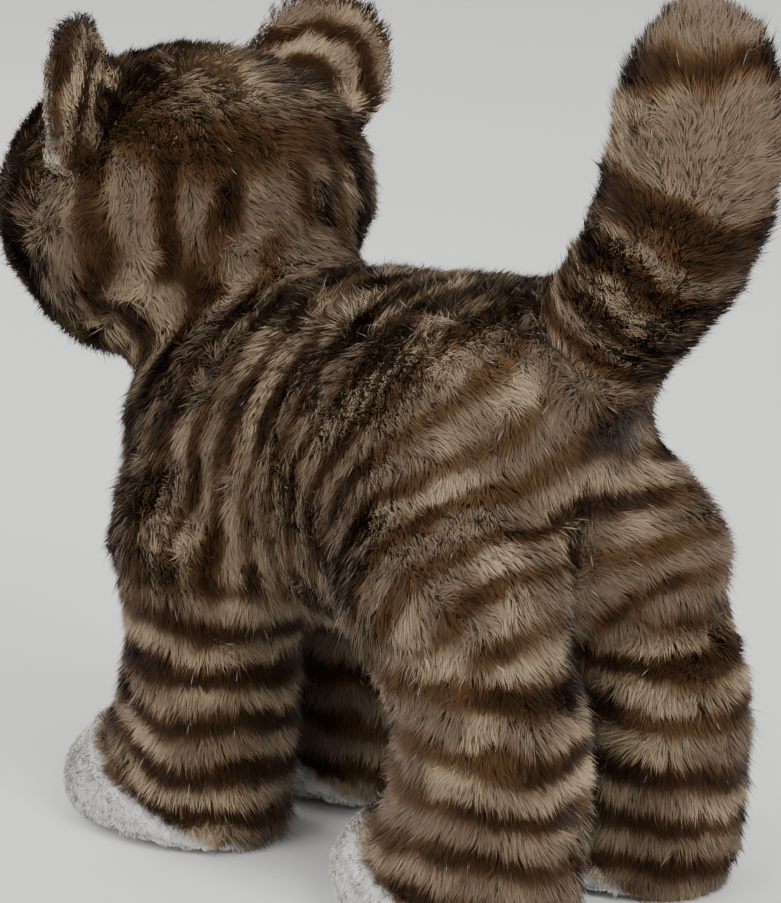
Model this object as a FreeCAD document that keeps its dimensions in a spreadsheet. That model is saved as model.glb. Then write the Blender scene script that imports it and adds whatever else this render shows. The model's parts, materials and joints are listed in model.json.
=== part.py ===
import FreeCAD, Part
import math
import os
import re

# Plush cat, standing.  Millimetres.  It faces -Y, its left side is +X, +Z is up, and the
# origin lies on the floor under the middle of its outline.

doc = FreeCAD.newDocument("plush_cat")
Vector = FreeCAD.Vector
Rotation = FreeCAD.Rotation

# ---------------------------------------------------------------- sizes
# name, value (a number, or a formula on the names above it), what it is

SIZES = (
    ("body_length", 146, "torso, chest to rump"),
    ("body_width", 90, "torso, side to side"),
    ("body_height", 91, "torso, belly to back"),
    ("body_y", 2, "middle of the torso along the cat"),
    ("belly_z", 59, "belly above the floor"),
    ("fabric", 3, "plush fabric, backing and lying pile together"),
    ("play", 0.4, "room round a stuffed ball that turns"),
    ("thread", 1.2, "thickness of the sewing thread lines"),

    ("neck_ball", "=0.333 * body_width", "radius of the stuffing at the neck"),
    ("neck_y", "=body_y - 0.363 * body_length", "neck pivot"),
    ("neck_z", "=belly_z + 0.852 * body_height", "neck pivot"),
    ("neck_tilt", 35, "degrees the neck leans forward"),
    ("shoulder_fall", 20, "degrees the shoulders fall away round the neck"),

    ("head_width", 106, "head across the cheeks"),
    ("head_depth", 82, "head, brow to nape"),
    ("head_height", 76, "head, chin to crown"),
    ("head_y", "=neck_y - 0.268 * head_depth", "middle of the head"),
    ("head_z", "=neck_z + 0.31 * head_height", "middle of the head"),
    ("gusset_width", 32, "strip over the top of the head"),

    ("muzzle_width", "=0.453 * head_width", "muzzle, side to side"),
    ("muzzle_depth", "=0.44 * head_depth", "muzzle, front to back, with the part in the head"),
    ("muzzle_height", "=0.447 * head_height", "muzzle, chin to bridge"),
    ("muzzle_y", "=head_y - 0.427 * head_depth", "middle of the muzzle"),
    ("muzzle_z", "=head_z - 0.158 * head_height", "middle of the muzzle"),
    ("nose_width", 12, "nose, side to side"),
    ("mouth_curl", 8, "radius of each half of the mouth line"),

    ("eye_size", 13, "diameter of the eye dome"),
    ("eye_x", "=0.198 * head_width", "eye off the middle"),
    ("eye_rise", "=0.079 * head_height", "eye above the middle of the head"),
    ("eye_turn", 19, "degrees the eye looks outward"),
    ("eye_y", "=head_y - 0.5 * head_depth * sqrt(1 - (2 * eye_x / head_width)^2"
              " - (2 * eye_rise / head_height)^2)", "eye on the face"),
    ("shank", 3.6, "diameter of the stem behind the eye"),
    ("washer_size", 12, "diameter of the locking washer"),

    ("ear_width", 38, "ear, side to side"),
    ("ear_x", "=0.354 * head_width", "foot of the ear off the middle"),
    ("ear_y", "=head_y + 0.03 * head_depth", "foot of the ear"),
    ("ear_z", "=head_z + 0.316 * head_height", "foot of the ear"),
    ("ear_turn", 32, "degrees the ear looks outward"),
    ("ear_lean", 38, "degrees the ear leans outward"),
    ("ear_root", 5, "radius of the rolled foot of the ear"),

    ("swing", 13, "degrees a leg swings each way"),
    ("front_x", "=0.3 * body_width", "shoulder off the middle"),
    ("front_y", "=body_y - 0.253 * body_length", "shoulder pivot"),
    ("front_z", "=belly_z + 0.231 * body_height", "shoulder pivot"),
    ("front_round", "=0.319 * body_height", "radius of the shoulder"),
    ("hind_x", "=0.32 * body_width", "hip off the middle"),
    ("hind_y", "=body_y + 0.363 * body_length", "hip pivot"),
    ("hind_z", "=belly_z + 0.275 * body_height", "hip pivot"),
    ("hind_round", "=0.341 * body_height", "radius of the hip"),
    ("thigh_gap", 8, "stuffing left between a left and a right leg"),
    ("leg_width", "=0.455 * body_width", "leg, side to side"),
    ("leg_depth", "=0.342 * body_length", "leg, front to back"),
    ("leg_seam", 2, "seams of the leg inward of its middle"),
    ("toe_slope", 27, "degrees of the seam between leg and white toe cap"),

    ("tail_ball", 20, "radius of the stuffing at the root of the tail"),
    ("tail_y", "=body_y + 0.466 * body_length", "tail pivot"),
    ("tail_z", "=belly_z + 0.868 * body_height", "tail pivot"),
    ("tail_length", 115, "tail, root to tip along its curve"),
    ("tail_thickness", 40, "tail at its thickest"),
)

sheet = doc.addObject("Spreadsheet::Sheet", "Sizes")
for line, (name, value, note) in enumerate(SIZES, start=1):
    sheet.set("A%d" % line, name)
    sheet.set("B%d" % line, str(value))
    sheet.setAlias("B%d" % line, name)
    sheet.set("C%d" % line, note)
doc.recompute()


def size(name):
    """The number the sheet holds under a name."""
    return float(sheet.get(name))


# ---------------------------------------------------------------- small helpers

WORDS = re.compile(r"\b(" + "|".join(row[0] for row in SIZES) + r")\b")


def bind(part, prop, formula):
    """Tie a property of a part to a formula on the sheet."""
    part.setExpression(prop, WORDS.sub(r"Sizes.\1", str(formula)))


def put(part, x, y, z):
    """Tie the place of a part to three formulas."""
    bind(part, "Placement.Base.x", x)
    bind(part, "Placement.Base.y", y)
    bind(part, "Placement.Base.z", z)


def ball(name, radius, x, y, z):
    part = doc.addObject("Part::Sphere", name)
    bind(part, "Radius", radius)
    put(part, x, y, z)
    return part


def egg(name, wide, deep, high, x, y, z):
    """An ellipsoid given by its three full sizes."""
    part = doc.addObject("Part::Ellipsoid", name)
    bind(part, "Radius2", "(%s) / 2" % wide)
    bind(part, "Radius3", "(%s) / 2" % deep)
    bind(part, "Radius1", "(%s) / 2" % high)
    put(part, x, y, z)
    return part


def rod(name, radius, length, x, y, z):
    """A cylinder that starts at the given point and stands on Z until it is turned."""
    part = doc.addObject("Part::Cylinder", name)
    bind(part, "Radius", radius)
    bind(part, "Height", length)
    put(part, x, y, z)
    return part


def block(name, wide, deep, high, x, y, z):
    """A box given by its sizes and its low corner."""
    part = doc.addObject("Part::Box", name)
    bind(part, "Length", wide)
    bind(part, "Width", deep)
    bind(part, "Height", high)
    put(part, x, y, z)
    return part


def cut(name, base, tool):
    part = doc.addObject("Part::Cut", name)
    part.Base = base
    part.Tool = tool
    return part


def both(name, base, tool):
    part = doc.addObject("Part::Common", name)
    part.Base = base
    part.Tool = tool
    return part


def join(name, parts):
    part = doc.addObject("Part::MultiFuse", name)
    part.Shapes = parts
    return part


def closed_oval(centre, reach, rise):
    """An oval wire of four smooth quarters, which meet half way between its axes."""
    quarters = []
    for quarter in range(4):
        angles = [math.radians(45 + 90 * quarter + 22.5 * step) for step in range(5)]
        points = [centre + reach * math.cos(a) + rise * math.sin(a) for a in angles]
        ends = [rise * math.cos(a) - reach * math.sin(a) for a in (angles[0], angles[-1])]
        curve = Part.BSplineCurve()
        curve.interpolate(Points=points, InitialTangent=ends[0], FinalTangent=ends[1])
        quarters.append(curve.toShape())
    return Part.Wire(quarters)


def ovals(name, sections):
    """A smooth solid through ovals, each given by its centre and two half axes."""
    wires = [closed_oval(centre, reach, rise) for centre, reach, rise in sections]
    part = doc.addObject("Part::Feature", name)
    part.Shape = Part.makeLoft(wires, True, False)
    return part


NODES = []


def node(part, label):
    """Mark a finished sub-part for export under its name."""
    part.Label = label
    NODES.append(part)
    return part


# ---------------------------------------------------------------- torso

# along the cat (-1 chest, +1 rump), half width, top and bottom, as shares of the torso

TORSO = (
    (-1.00, 0.16, 0.64, 0.44),
    (-0.95, 0.50, 0.80, 0.27),
    (-0.83, 0.76, 0.925, 0.14),
    (-0.53, 0.94, 0.98, 0.075),
    (-0.19, 0.98, 0.995, 0.015),
    (0.15, 1.00, 1.00, 0.00),
    (0.49, 1.01, 1.03, 0.025),
    (0.70, 0.955, 1.03, 0.08),
    (0.85, 0.79, 0.98, 0.16),
    (0.95, 0.50, 0.84, 0.31),
    (1.00, 0.16, 0.66, 0.47),
)


def torso_solid(name, inset):
    """The torso, its skin moved inward by the inset."""
    sections = []
    for along, wide, top, bottom in TORSO:
        y = size("body_y") + along * (size("body_length") / 2 - inset)
        high = size("belly_z") + top * size("body_height") - inset
        low = size("belly_z") + bottom * size("body_height") + inset
        reach = wide * size("body_width") / 2 - inset
        centre = Vector(0, y, (high + low) / 2)
        sections.append((centre, Vector(reach, 0, 0), Vector(0, 0, (high - low) / 2)))
    return ovals(name, sections)


# ---------------------------------------------------------------- legs

# height and shift back as shares, then half width and half depth as shares of the leg

FRONT_LEG = (
    (0.00, -0.24, 0.86, 1.14),
    (0.05, -0.25, 1.00, 1.32),
    (0.125, -0.26, 1.05, 1.40),
    (0.20, -0.20, 1.05, 1.34),
    (0.30, -0.10, 1.00, 1.18),
    (0.42, -0.04, 0.98, 1.06),
    (0.58, 0.00, 0.98, 1.00),
    (0.75, 0.00, 0.95, 0.94),
)
HIND_LEG = (
    (0.00, 0.06, 0.88, 1.16),
    (0.05, 0.05, 1.02, 1.32),
    (0.12, 0.06, 1.07, 1.40),
    (0.19, 0.10, 1.07, 1.32),
    (0.29, 0.18, 1.05, 1.14),
    (0.42, 0.26, 1.05, 1.02),
    (0.56, 0.28, 1.08, 0.98),
    (0.70, 0.24, 1.07, 0.96),
)


ROUND_ANGLES = (-20, 0, 20, 38, 54, 68, 79, 87)


def leg_rows(end, inset):
    """Height, shift back, half width and half depth of each oval of a leg, sole to top.

    The top follows a shape turned round the swing axis, so it fits its socket at any angle.
    """
    pivot = size(end + "_z")
    rows = []
    for high, back, wide, deep in FRONT_LEG if end == "front" else HIND_LEG:
        rows.append((inset + high * (pivot - inset), back * size("leg_depth"),
                     wide * size("leg_width") / 2 - inset, deep * size("leg_depth") / 2 - inset))
    half = size(end + "_x") - size("thigh_gap") / 2 - inset
    radius = size(end + "_round") - inset
    for angle in ROUND_ANGLES:
        turn = math.radians(angle)
        rows.append((pivot + radius * math.sin(turn), 0.0,
                     half * math.cos(turn), radius * math.cos(turn)))
    return rows


def leg_solid(name, end, side, inset):
    """One leg from sole to rounded top, its skin moved inward by the inset."""
    sections = []
    for high, back, wide, deep in leg_rows(end, inset):
        centre = Vector(side * size(end + "_x"), size(end + "_y") + back, high)
        sections.append((centre, Vector(wide, 0, 0), Vector(0, deep, 0)))
    return ovals(name, sections)


def leg_room(name, end, side):
    """The space the top of the leg sweeps under the body when it swings both ways.

    Each oval of the leg is stretched to where its rear and its front edge swing up to.
    """
    turn = math.radians(size("swing"))
    pivot = Vector(side * size(end + "_x"), size(end + "_y"), size(end + "_z"))
    sections = []
    for high, back, wide, deep in leg_rows(end, 0.0):
        if 0.4 * pivot.z < high < 0.95 * pivot.z:
            fall = high - pivot.z
            rear, front = back + deep, back - deep
            rear = Vector(0, rear * math.cos(turn) - fall * math.sin(turn),
                          fall * math.cos(turn) + rear * math.sin(turn))
            front = Vector(0, front * math.cos(turn) + fall * math.sin(turn),
                           fall * math.cos(turn) - front * math.sin(turn))
            rise = (rear - front) * 0.5
            rise = rise * (1 + 5 * size("play") / rise.Length)
            reach = wide * math.sqrt(rise.Length / deep) + 3 * size("play")
            sections.append((pivot + (rear + front) * 0.5, Vector(reach, 0, 0), rise))
    return ovals(name, sections)


def leg_socket(name, end, side):
    """The hollow in the torso round the top of the leg."""
    part = doc.addObject("Part::Ellipsoid", name)
    bind(part, "Radius1", "%s_x - thigh_gap / 2 + 2.5 * play" % end)
    bind(part, "Radius2", end + "_round + 2.5 * play")
    bind(part, "Radius3", end + "_round + 2.5 * play")
    part.Placement = FreeCAD.Placement(Vector(), Rotation(Vector(0, 1, 0), 90))
    put(part, "%d * %s_x" % (side, end), end + "_y", end + "_z")
    return part


def leg_clearance(end, side, word):
    """What the torso gives way to round one leg."""
    key = "%s_%s" % (end, word)
    socket = leg_socket(key + "_socket", end, side)
    room = leg_room(key + "_room", end, side)
    return join(key + "_clearance", [socket, room])


def leg(end, side, word):
    """One leg: two fabric panels, a white toe cap and sole, and the stuffing."""
    key = "%s_%s" % (end, word)
    outer = leg_solid(key + "_outer", end, side, 0.0)
    inner = leg_solid(key + "_inner", end, side, size("fabric"))
    base = block(key + "_sole_slab", "200", "200", "fabric",
                 "%d * %s_x - 100" % (side, end), end + "_y - 100", "0")
    shell = cut(key + "_shell", cut(key + "_skin", outer, inner), base)

    toe = block(key + "_toe_side", "200", "200", "200", "0", "0", "0")
    toe.Placement = FreeCAD.Placement(Vector(), Rotation(Vector(-1, 0, 0), size("toe_slope")))
    bind(toe, "Placement.Rotation.Angle", "toe_slope")
    put(toe, "%d * %s_x - 100" % (side, end),
        "%s_y + 0.3 * leg_depth - 100 * cos(toe_slope * 1deg) - 200 * sin(toe_slope * 1deg)" % end,
        "fabric + 100 * sin(toe_slope * 1deg) - 200 * cos(toe_slope * 1deg)")

    inside = block(key + "_inside", "200", "300", "300",
                   "%d * (%s_x - leg_seam) - %d" % (side, end, 200 if side > 0 else 0),
                   end + "_y - 150", "-50")
    upper = cut(key + "_upper", shell, toe)
    node(cut(key + "_panel_out", upper, inside), key + "_panel_outer")
    node(both(key + "_panel_in", upper, inside), key + "_panel_inner")
    node(both(key + "_cap", shell, toe), key + "_toe_cap")
    node(both(key + "_foot", outer, base), key + "_sole")
    node(inner, key + "_stuffing")


# ---------------------------------------------------------------- tail

# share of the length, back and up from the pivot as shares of the length, half thickness

TAIL = (
    (0.000, 0.000, 0.80),
    (0.080, 0.080, 0.84),
    (0.180, 0.185, 0.93),
    (0.262, 0.315, 0.99),
    (0.307, 0.460, 1.00),
    (0.318, 0.580, 0.93),
    (0.314, 0.675, 0.76),
    (0.308, 0.735, 0.52),
    (0.304, 0.770, 0.22),
)


def tail_solid(name, inset):
    """The tail, round in section, along its bend."""
    length = size("tail_length") - inset
    spots = [Vector(0, size("tail_y") + back * length, size("tail_z") + up * length)
             for back, up, thick in TAIL]
    sections = []
    for index, (back, up, thick) in enumerate(TAIL):
        before = spots[max(index - 1, 0)]
        after = spots[min(index + 1, len(spots) - 1)]
        along = (after - before).normalize()
        radius = thick * size("tail_thickness") / 2 - inset
        across = Vector(1, 0, 0)
        sections.append((spots[index], across * radius, along.cross(across) * radius))
    return ovals(name, sections)


def tail():
    """Two fabric halves and the stuffing, hollow at the root where they turn on the ball."""
    place = ("0", "tail_y", "tail_z")
    root = ball("tail_root", "tail_ball", *place)
    node(root, "tail_root_stuffing")
    outer = cut("tail_outer", tail_solid("tail_out", 0.0),
                ball("tail_hollow", "tail_ball + play", *place))
    inner = tail_solid("tail_in", size("fabric"))
    shell = cut("tail_shell", outer, inner)
    right = block("tail_right", "100", "300", "300", "-100", "tail_y - 100", "tail_z - 100")
    node(cut("tail_half_left", shell, right), "tail_panel_left")
    node(both("tail_half_right", shell, right), "tail_panel_right")
    node(cut("tail_fill", inner, ball("tail_hollow_in", "tail_ball + play", *place)),
         "tail_stuffing")


# ---------------------------------------------------------------- neck

def neck():
    """The ball of stuffing the head turns on, with the thread that closes the neck."""
    place = ("0", "neck_y", "neck_z")
    seam = doc.addObject("Part::Torus", "neck_ring")
    bind(seam, "Radius1", "neck_ball + play / 2 - thread / 2")
    bind(seam, "Radius2", "thread / 2")
    seam.Placement = FreeCAD.Placement(Vector(), Rotation(Vector(1, 0, 0), 35))
    bind(seam, "Placement.Rotation.Angle", "neck_tilt")
    put(seam, *place)
    node(seam, "neck_seam")
    node(cut("neck_fill", ball("neck_round", "neck_ball", *place), seam), "neck_stuffing")


def neck_room():
    """The flat space over the shoulders that the head turns and nods in."""
    lean = FreeCAD.Placement(Vector(), Rotation(Vector(1, 0, 0), size("neck_tilt")))
    fall = "(0.8 * body_width * tan(shoulder_fall * 1deg))"
    disc = rod("neck_disc", "0.8 * body_width", fall + " + body_height", "0", "0", "0")
    core = doc.addObject("Part::Cone", "neck_core")
    bind(core, "Radius1", "0.8 * body_width")
    bind(core, "Radius2", "0")
    bind(core, "Height", fall)
    for part in (disc, core):
        part.Placement = lean
        bind(part, "Placement.Rotation.Angle", "neck_tilt")
        put(part, "0", "neck_y + %s * sin(neck_tilt * 1deg)" % fall,
            "neck_z - %s * cos(neck_tilt * 1deg)" % fall)
    return cut("neck_room", disc, core)


# ---------------------------------------------------------------- body

def body():
    """Two side panels, a belly gusset, the stuffing and the thread that closes the belly."""
    gives_way = [
        ball("neck_socket", "neck_ball + play", "0", "neck_y", "neck_z"),
        neck_room(),
        ball("tail_socket", "tail_ball + play", "0", "tail_y", "tail_z"),
    ]
    for end in ("front", "hind"):
        for side, word in ((1, "left"), (-1, "right")):
            gives_way.append(leg_clearance(end, side, word))

    def without(name, part):
        for index, tool in enumerate(gives_way):
            part = cut("%s_%d" % (name, index), part, tool)
        return part

    outer = torso_solid("torso_out", 0.0)
    inner = torso_solid("torso_in", size("fabric"))
    shell = cut("torso_shell", without("torso_whole", outer), inner)
    node(without("torso_fill", inner), "torso_stuffing")

    under = block("belly_side", "0.5 * body_width", "2 * body_length", "100",
                  "-0.25 * body_width", "body_y - body_length",
                  "belly_z + 0.3 * body_height - 100")
    right = block("body_right", "100", "300", "300", "-100", "body_y - 150", "0")
    sides = cut("torso_sides", shell, under)
    node(cut("side_left", sides, right), "side_panel_left")
    node(both("side_right", sides, right), "side_panel_right")

    line = block("stitch_line", "thread", "30", "60", "-thread / 2", "body_y - 15", "belly_z - 30")
    bars = [line]
    for step in range(7):
        bars.append(block("stitch_%d" % step, "6", "thread", "60", "-3",
                          "body_y - 15 + thread + %d * 4" % step, "belly_z - 30"))
    ladder = join("stitch_ladder", bars)
    belly = both("belly", shell, under)
    node(both("stitches", belly, ladder), "closing_stitches")
    node(cut("belly_cut", belly, ladder), "belly_gusset")


# ---------------------------------------------------------------- head

def eye_tools(side, word):
    """Dome, stem and washer of one eye, built along Z and turned to look out of the face."""
    spot = ("%d * eye_x" % side, "eye_y", "head_z + eye_rise")
    outward = Rotation(Vector(0, 0, 1), side * size("eye_turn"))
    facing = outward.multiply(Rotation(Vector(1, 0, 0), 90))
    axis = facing.multVec(Vector(0, 0, 1))

    def shifted(depth):
        out = []
        for base, part in zip(spot, axis):
            out.append("%s + (%.6f) * (%s)" % (base, part, depth))
        return out

    def turned(part, depth):
        part.Placement = FreeCAD.Placement(Vector(), facing)
        put(part, *shifted(depth))
        return part

    dome = turned(egg("eye_dome_" + word, "eye_size", "eye_size", "0.6 * eye_size",
                      "0", "0", "0"), "0")
    stem = turned(rod("eye_stem_" + word, "shank / 2", "14", "0", "0", "0"), "-14")
    disc = turned(rod("eye_disc_" + word, "washer_size / 2", "1.4", "0", "0", "0"),
                  "-0.5 * eye_size")
    hole = turned(rod("eye_hole_" + word, "shank / 2", "3", "0", "0", "0"),
                  "-0.5 * eye_size - 1")
    return dome, stem, disc, hole


def ear_placement(side):
    """Turn of the ear: its foot lies along local X, it rises along local Z."""
    lean = Rotation(Vector(0, 1, 0), side * size("ear_lean"))
    return Rotation(Vector(0, 0, 1), side * size("ear_turn")).multiply(lean)


def ear(side, word):
    """Two layers of fabric, back and lining, rolled over a rounded foot."""
    turn = ear_placement(side)
    up = turn.multVec(Vector(0, 0, 1))
    along = turn.multVec(Vector(1, 0, 0))
    foot = ("%d * ear_x" % side, "ear_y", "ear_z")

    def at(direction, distance):
        return ["%s + (%.6f) * (%s)" % (base, part, distance)
                for base, part in zip(foot, direction)]

    facing = turn.multVec(Vector(0, 1, 0))
    bulge = "(ear_width ^ 2 / (8.8 * fabric) + 0.55 * fabric)"
    bowls = []
    for way in (1, -1):
        shift = "%d * (%s - 1.1 * fabric)" % (way, bulge)
        middle = ["%s + (%.6f) * 0.237 * ear_width + (%.6f) * %s" % (base, rise, out, shift)
                  for base, rise, out in zip(foot, up, facing)]
        bowls.append(ball("ear_bowl_%s_%d" % (word, way), bulge, *middle))
    blade = both("ear_blade_" + word, *bowls)

    low = block("ear_low_" + word, "100", "100", "100", "0", "0", "0")
    low.Placement = FreeCAD.Placement(Vector(), turn)
    corner = turn.multVec(Vector(-50, -50, -100))
    put(low, *["%s + (%.6f)" % (base, part) for base, part in zip(foot, corner)])

    roll = rod("ear_roll_" + word, "ear_root", "0.86 * ear_width", "0", "0", "0")
    roll.Placement = FreeCAD.Placement(Vector(), turn.multiply(Rotation(Vector(0, 1, 0), 90)))
    put(roll, *at(along, "-0.43 * ear_width"))
    whole = join("ear_whole_" + word, [cut("ear_top_" + word, blade, low), roll])

    front = block("ear_front_" + word, "100", "100", "100", "0", "0", "0")
    front.Placement = FreeCAD.Placement(Vector(), turn)
    corner = turn.multVec(Vector(-50, -100, -50))
    put(front, *["%s + (%.6f)" % (base, part) for base, part in zip(foot, corner)])
    node(cut("ear_rear_" + word, whole, front), "ear_back_" + word)
    node(both("ear_face_" + word, whole, front), "ear_lining_" + word)

    groove = rod("ear_groove_" + word, "ear_root + play", "0.86 * ear_width + 2 * play",
                 "0", "0", "0")
    groove.Placement = roll.Placement
    put(groove, *at(along, "-0.43 * ear_width - play"))
    return groove


def head():
    """Crown gusset, two side panels, muzzle, stuffing, two eyes with washers, nose, mouth."""
    place = ("0", "head_y", "head_z")
    snout = ("0", "muzzle_y", "muzzle_z")
    skull_out = egg("skull_out", "head_width", "head_depth", "head_height", *place)
    skull_in = egg("skull_in", "head_width - 2 * fabric", "head_depth - 2 * fabric",
                   "head_height - 2 * fabric", *place)
    snout_out = egg("snout_out", "muzzle_width", "muzzle_depth", "muzzle_height", *snout)
    snout_in = egg("snout_in", "muzzle_width - 2 * fabric", "muzzle_depth - 2 * fabric",
                   "muzzle_height - 2 * fabric", *snout)
    hollow = ball("head_hollow", "neck_ball + play", "0", "neck_y", "neck_z")
    grooves = [ear(1, "left"), ear(-1, "right")]

    eyes = []
    stems = []
    for side, word in ((1, "left"), (-1, "right")):
        dome, stem, disc, hole = eye_tools(side, word)
        eye = join("eye_whole_" + word, [dome, stem])
        node(eye, "eye_" + word)
        node(cut("eye_lock_" + word, disc, hole), "eye_washer_" + word)
        eyes.append(eye)
        stems += [eye, disc]

    shell = cut("skull_skin", skull_out, skull_in)
    for index, tool in enumerate([hollow, snout_out] + grooves + eyes):
        shell = cut("skull_shell_%d" % index, shell, tool)
    strip = block("gusset_side", "gusset_width", "200", "200", "-gusset_width / 2",
                  "head_y - 100", "head_z - 0.05 * head_height")
    node(both("gusset", shell, strip), "crown_gusset")
    cheeks = cut("cheeks", shell, strip)
    right = block("head_right", "100", "300", "300", "-100", "head_y - 150", "0")
    node(cut("cheek_left", cheeks, right), "head_side_left")
    node(both("cheek_right", cheeks, right), "head_side_right")

    nose = egg("nose_pad", "nose_width", "0.6 * nose_width", "0.7 * nose_width",
               "0", "muzzle_y - 0.42 * muzzle_depth", "muzzle_z + 0.24 * muzzle_height")
    node(nose, "nose")
    muzzle = cut("snout_skin", snout_out, snout_in)
    for index, tool in enumerate([skull_out, nose]):
        muzzle = cut("snout_shell_%d" % index, muzzle, tool)
    mouth = mouth_line()
    node(both("mouth_thread", muzzle, mouth), "mouth_stitch")
    node(cut("snout_shell", muzzle, mouth), "muzzle")

    fill = join("head_mass", [skull_in, snout_in])
    for index, tool in enumerate([hollow, nose] + grooves + stems):
        fill = cut("head_fill_%d" % index, fill, tool)
    node(fill, "head_stuffing")


def mouth_line():
    """Where thread runs through the muzzle: a line down from the nose and two curls."""
    drop = block("mouth_drop", "thread", "60", "0.36 * muzzle_height", "-thread / 2",
                 "muzzle_y - 60", "muzzle_z - 0.2 * muzzle_height")
    parts = [drop]
    for side, word in ((1, "left"), (-1, "right")):
        key = "mouth_" + word
        place = ("%d * mouth_curl" % side, "muzzle_y", "muzzle_z - 0.2 * muzzle_height")
        big = rod(key + "_big", "mouth_curl + thread / 2", "60", *place)
        small = rod(key + "_small", "mouth_curl - thread / 2", "60", *place)
        for part in (big, small):
            part.Placement = FreeCAD.Placement(Vector(), Rotation(Vector(1, 0, 0), 90))
            put(part, *place)
        above = block(key + "_above", "60", "100", "60", "-30", "muzzle_y - 80",
                      "muzzle_z - 0.2 * muzzle_height")
        parts.append(cut(key, cut(key + "_ring", big, small), above))
    return join("mouth_pattern", parts)


# ---------------------------------------------------------------- put together

body()
neck()
head()
for leg_end in ("front", "hind"):
    for leg_side, leg_word in ((1, "left"), (-1, "right")):
        leg(leg_end, leg_side, leg_word)
tail()
doc.recompute()

faults = []
for part in doc.Objects:
    if "Invalid" in part.State or "Error" in part.State:
        faults.append("%s %s" % (part.Name, part.State))
for part in NODES:
    if part.Shape.isNull() or not part.Shape.isValid() or len(part.Shape.Solids) != 1:
        faults.append("%s is not one good solid" % part.Label)
if faults:
    raise RuntimeError("; ".join(faults))

os.makedirs("parts", exist_ok=True)
for part in NODES:
    part.Shape.exportStep("parts/%s.step" % part.Label)
print("%d sub-parts written" % len(NODES))
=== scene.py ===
import json
import math
import bpy
import numpy as np
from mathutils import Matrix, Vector
from mathutils.bvhtree import BVHTree


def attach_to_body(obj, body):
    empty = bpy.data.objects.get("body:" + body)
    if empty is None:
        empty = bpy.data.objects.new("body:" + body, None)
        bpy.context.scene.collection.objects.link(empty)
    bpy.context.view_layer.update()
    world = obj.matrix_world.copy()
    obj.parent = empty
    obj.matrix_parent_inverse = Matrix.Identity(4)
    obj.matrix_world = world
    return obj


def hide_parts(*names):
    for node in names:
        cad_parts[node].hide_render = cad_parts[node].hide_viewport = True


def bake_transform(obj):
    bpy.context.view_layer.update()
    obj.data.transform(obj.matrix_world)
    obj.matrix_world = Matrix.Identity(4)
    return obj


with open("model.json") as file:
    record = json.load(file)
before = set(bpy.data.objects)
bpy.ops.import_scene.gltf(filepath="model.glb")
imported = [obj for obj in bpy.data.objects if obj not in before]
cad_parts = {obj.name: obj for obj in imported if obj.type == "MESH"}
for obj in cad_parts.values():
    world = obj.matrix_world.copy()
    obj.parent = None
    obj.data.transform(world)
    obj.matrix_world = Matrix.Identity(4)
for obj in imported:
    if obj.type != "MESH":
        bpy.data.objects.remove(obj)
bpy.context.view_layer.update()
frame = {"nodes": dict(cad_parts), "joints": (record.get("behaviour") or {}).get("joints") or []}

# ---------------------------------------------------------------- the hide
# One skin of knitted plush backing, sewn from panels and turned right side out, then filled
# until it rounds.  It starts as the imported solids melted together, so that the panels,
# the leg tops and the neck run into each other as sewn cloth does.

NECK = np.array([0.0, -0.0510, 0.1365])
NECK_AXIS = np.array([0.0, -0.5736, 0.8192])
LEGS = {"front_left": (0.027, -0.0349), "front_right": (-0.027, -0.0349),
        "hind_left": (0.0288, 0.0550), "hind_right": (-0.0288, 0.0550)}
CLOSE = 0.0032
FIRST_VOXEL = 0.0025
LAST_VOXEL = 0.0030
PRESSURE = 4
PUFF_STEPS = 12
PUFF_MOST = 0.0022
SEAM_WIDTH = 0.0016
SEAM_DENT = 0.0012
NOISE_CELLS = 32


def arrays_of(mesh):
    """Corners, triangles and corner normals of a mesh."""
    mesh.calc_loop_triangles()
    co = np.zeros(len(mesh.vertices) * 3, np.float32)
    mesh.vertices.foreach_get("co", co)
    tri = np.zeros(len(mesh.loop_triangles) * 3, np.int32)
    mesh.loop_triangles.foreach_get("vertices", tri)
    normal = np.zeros(len(mesh.vertices) * 3, np.float32)
    mesh.vertices.foreach_get("normal", normal)
    return co.reshape(-1, 3), tri.reshape(-1, 3), normal.reshape(-1, 3)


def cad_arrays(names):
    """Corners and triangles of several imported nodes, one after the other."""
    corners, faces, count = [], [], 0
    for name in names:
        co, tri, _ = arrays_of(frame["nodes"][name].data)
        corners.append(co)
        faces.append(tri + count)
        count += len(co)
    return np.concatenate(corners), np.concatenate(faces)


def mesh_from(name, corners, faces):
    """A mesh object with the given corners and faces, shaded smooth."""
    mesh = bpy.data.meshes.new(name)
    mesh.from_pydata([], [], [])
    mesh.vertices.add(len(corners))
    mesh.vertices.foreach_set("co", np.asarray(corners, np.float32).ravel())
    sides = faces.shape[1]
    mesh.loops.add(faces.size)
    mesh.loops.foreach_set("vertex_index", np.asarray(faces, np.int32).ravel())
    mesh.polygons.add(len(faces))
    mesh.polygons.foreach_set("loop_start", np.arange(0, faces.size, sides, dtype=np.int32))
    mesh.polygons.foreach_set("loop_total", np.full(len(faces), sides, np.int32))
    mesh.update(calc_edges=True)
    mesh.shade_smooth()
    obj = bpy.data.objects.new(name, mesh)
    bpy.context.scene.collection.objects.link(obj)
    return obj


def with_normals(corners, faces):
    """The same corners and triangles, with a smooth normal at each corner."""
    obj = mesh_from("probe", corners, faces)
    out = arrays_of(obj.data)
    bpy.data.objects.remove(obj)
    return out


def melted(corners, faces, voxel):
    """The outside of overlapping closed surfaces, as one even mesh of the given voxel."""
    obj = mesh_from("melt", corners, faces)
    remesh = obj.modifiers.new("melt", "REMESH")
    remesh.mode = "VOXEL"
    remesh.voxel_size = voxel
    remesh.use_smooth_shade = True
    grid = bpy.context.evaluated_depsgraph_get()
    mesh = bpy.data.meshes.new_from_object(obj.evaluated_get(grid))
    out = arrays_of(mesh)
    bpy.data.objects.remove(obj)
    bpy.data.meshes.remove(mesh)
    return out


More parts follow.
